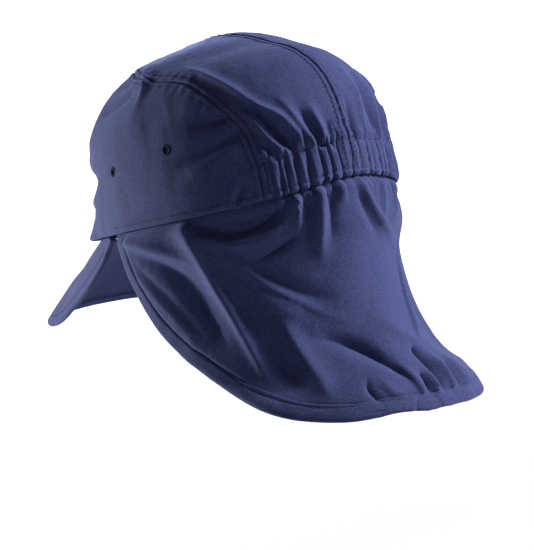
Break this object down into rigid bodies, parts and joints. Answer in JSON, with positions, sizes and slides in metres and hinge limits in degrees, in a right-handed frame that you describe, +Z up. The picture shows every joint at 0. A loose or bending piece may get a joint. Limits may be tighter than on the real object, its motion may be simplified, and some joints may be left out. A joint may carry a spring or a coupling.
{
  "type": "legionnaire cap",
  "caption": "Soft cotton cap with a domed crown, curved peak, stitched eyelets, shirred back edge and a long bound neck flap.",
  "frame": {"origin": "centre of the head opening at the height of the crown's lower edge, where the head carries the cap", "axes": "+Z up through the top of the crown, -Y forward along the peak, +X to the wearer's left"},
  "size_m": [0.1618, 0.2889, 0.2226],
  "materials": {
    "crown_twill": "brushed navy cotton twill",
    "peak_twill": "navy cotton twill over a stiff board",
    "flap_twill": "brushed navy cotton twill",
    "binding_twill": "folded navy cotton tape",
    "eyelet_thread": "dark navy worked thread"
  },
  "bodies": {
    "root": {"front_panel": "crown_twill", "rear_panel_left": "crown_twill", "rear_panel_right": "crown_twill", "peak": "peak_twill", "neck_flap": "flap_twill", "flap_binding": "binding_twill", "eyelet_left_front": "eyelet_thread", "eyelet_left_rear": "eyelet_thread", "eyelet_right_front": "eyelet_thread", "eyelet_right_rear": "eyelet_thread"}
  },
  "joints": []
}
